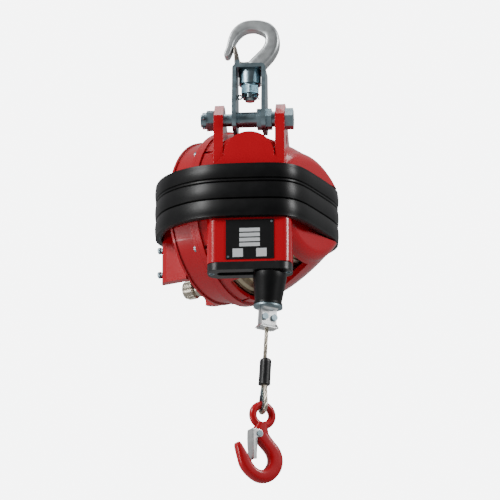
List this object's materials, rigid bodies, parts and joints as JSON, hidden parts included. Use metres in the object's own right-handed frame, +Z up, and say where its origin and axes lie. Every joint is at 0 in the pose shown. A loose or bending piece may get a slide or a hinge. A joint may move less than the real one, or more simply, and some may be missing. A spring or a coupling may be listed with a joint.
{
  "type": "tool balancer",
  "caption": "Spring balancer with a conical rope drum in a red cast housing, a rubber bumper band, a swivel hook above and a safety hook on its wire rope.",
  "frame": {"origin": "the point in the suspension hook's bowl that bears on the rail or trolley eye", "axes": "+Z up along the swivel, +X along the cross bolt and the rope slot, -Y the front with the plate"},
  "size_m": [0.2395, 0.2437, 0.6031],
  "materials": {
    "zinc_forging": "forged, zinc plated",
    "zinc_steel": "zinc plated, bluish",
    "spring_steel": "bright spring steel",
    "red_paint": "glossy red paint on castings",
    "red_forging": "red powder coat on a forging",
    "black_rubber": "extruded black rubber, satin",
    "black_plastic": "moulded black plastic",
    "black_plate": "black plate with bare fields",
    "cast_aluminium": "turned aluminium casting",
    "turned_steel": "turned steel",
    "nickel_brass": "nickel plated, turned",
    "wire_rope": "galvanised wire rope",
    "dark_sleeve": "black sleeve"
  },
  "bodies": {
    "suspension_hook": {"suspension_hook": "zinc_forging", "thrust_washer": "zinc_steel", "thrust_collar": "zinc_steel", "nut_washer": "zinc_steel", "hook_nut": "zinc_steel", "hook_split_pin": "zinc_steel", "gate_pin": "zinc_steel"},
    "hook_gate": {"hook_gate": "spring_steel"},
    "bracket": {"suspension_bracket": "zinc_steel", "cross_bolt": "zinc_steel", "spacer_tube": "zinc_steel", "jam_nuts": "zinc_steel", "cross_bolt_nut": "zinc_steel", "cross_bolt_split_pin": "zinc_steel"},
    "housing": {"drum_housing": "red_paint", "spring_case": "red_paint", "end_block": "red_paint", "flange_screws": "zinc_steel", "end_block_screws": "zinc_steel", "bumper_band": "black_rubber", "nameplate": "black_plate", "nameplate_rivets": "zinc_steel", "rope_guide": "black_plastic", "guide_screws": "zinc_steel", "lock_bush": "nickel_brass", "lock_spring": "spring_steel", "drum_shaft": "turned_steel", "shaft_circlips": "zinc_steel", "spring_arbor": "turned_steel"},
    "drum": {"rope_drum": "cast_aluminium", "spring_barrel": "turned_steel", "drum_bearings": "turned_steel", "power_spring": "spring_steel", "rope_turns": "wire_rope"},
    "rope_lead": {"rope_lead": "wire_rope"},
    "load_end": {"rubber_buffer": "black_rubber", "buffer_washer": "zinc_steel", "rope_clamp": "zinc_steel", "clamp_screws": "zinc_steel", "rope_core": "wire_rope", "rope_end": "wire_rope", "rope_sleeve": "dark_sleeve", "thimble": "zinc_steel"},
    "load_hook": {"load_hook": "red_forging", "latch_pin": "zinc_steel"},
    "load_latch": {"load_latch": "spring_steel"},
    "lock_knob": {"lock_knob": "nickel_brass"}
  },
  "joints": [
    {"name": "gate_pivot", "type": "hinge", "parent": "suspension_hook", "child": "hook_gate", "pos_m": [-0.0156, 0, -0.0439], "axis": [0, 1, 0], "range_deg": [0, 50], "stiffness_Nm_per_rad": 0.02, "springref_deg": -28.65},
    {"name": "hook_swivel", "type": "hinge", "parent": "suspension_hook", "child": "bracket", "pos_m": [0, 0, -0.051], "axis": [0, 0, 1], "continuous": true},
    {"name": "housing_swing", "type": "hinge", "parent": "bracket", "child": "housing", "pos_m": [0, 0, -0.118], "axis": [1, 0, 0], "range_deg": [0, 30]},
    {"name": "drum_spin", "type": "hinge", "parent": "housing", "child": "drum", "pos_m": [-0.025, 0.096, -0.218], "axis": [0.8988, -0.4384, 0], "range_deg": [0, 1530], "stiffness_Nm_per_rad": 0.05, "springref_deg": -8766.25, "deforming": ["power_spring", "rope_turns"]},
    {"name": "rope_walk", "type": "slide", "parent": "housing", "child": "rope_lead", "axis": [-1, 0, 0], "range_m": [0, 0.0512]},
    {"name": "rope_payout", "type": "slide", "parent": "rope_lead", "child": "load_end", "axis": [0, 0, -1], "range_m": [0, 2.004], "deforming": ["rope_lead", "rope_core"]},
    {"name": "load_hook_swing", "type": "hinge", "parent": "load_end", "child": "load_hook", "pos_m": [0.01545, -0.00234, -0.50346], "axis": [-0.4991, 0.866, 0.0297], "range_deg": [-60, 60]},
    {"name": "latch_pivot", "type": "hinge", "parent": "load_hook", "child": "load_latch", "pos_m": [0.00894, -0.00524, -0.52841], "axis": [0.4991, -0.866, -0.0297], "range_deg": [0, 30], "stiffness_Nm_per_rad": 0.02, "springref_deg": -28.65},
    {"name": "lock_pull", "type": "slide", "parent": "housing", "child": "lock_knob", "axis": [-0.8988, 0.4384, 0], "range_m": [0, 0.008], "stiffness_N_per_m": 600, "springref_m": -0.01, "deforming": ["lock_spring"]}
  ],
  "couplings": [
    {"joint": "rope_walk", "follows": "drum_spin", "m_per_rad": 0.00191},
    {"joint": "rope_payout", "follows": "drum_spin", "m_per_rad": 0.075}
  ]
}
